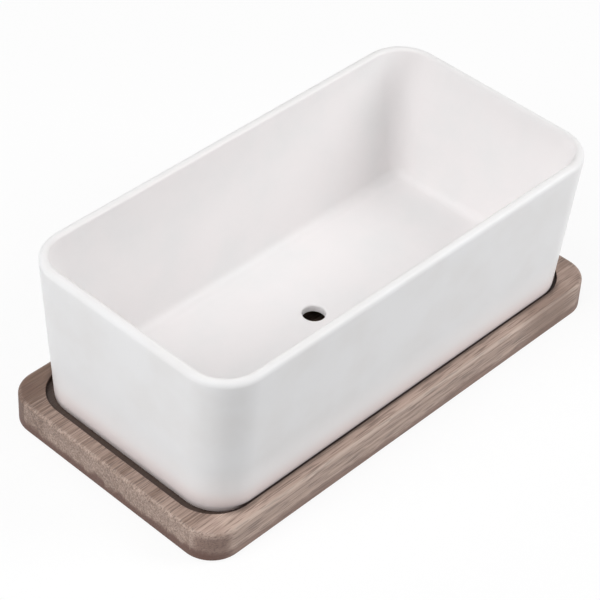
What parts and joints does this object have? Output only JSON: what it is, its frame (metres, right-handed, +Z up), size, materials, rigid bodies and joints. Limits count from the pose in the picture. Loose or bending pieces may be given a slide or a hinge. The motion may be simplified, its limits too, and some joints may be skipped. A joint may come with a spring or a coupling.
{
  "type": "herb planter",
  "caption": "Rectangular white glazed ceramic trough with leaning walls and a drain hole, standing in the shallow routed pocket of an edge-glued bamboo drip tray.",
  "frame": {"origin": "middle of the tray's underside", "axes": "+X along the planter's length, +Y across it towards the back, +Z up out of the pot's mouth"},
  "size_m": [0.2808, 0.1444, 0.101],
  "materials": {
    "glaze": "white gloss glaze",
    "bamboo": "grey-brown washed bamboo, matt"
  },
  "bodies": {
    "tray": {"tray_stave_01": "bamboo", "tray_stave_02": "bamboo", "tray_stave_03": "bamboo", "tray_stave_04": "bamboo", "tray_stave_05": "bamboo", "tray_stave_06": "bamboo", "tray_stave_07": "bamboo", "tray_stave_08": "bamboo", "tray_stave_09": "bamboo", "tray_stave_10": "bamboo"},
    "pot": {"pot": "glaze"}
  },
  "joints": [
    {"name": "pot_lift", "type": "slide", "parent": "tray", "child": "pot", "axis": [0, 0, 1], "range_m": [0, 0.1]}
  ]
}
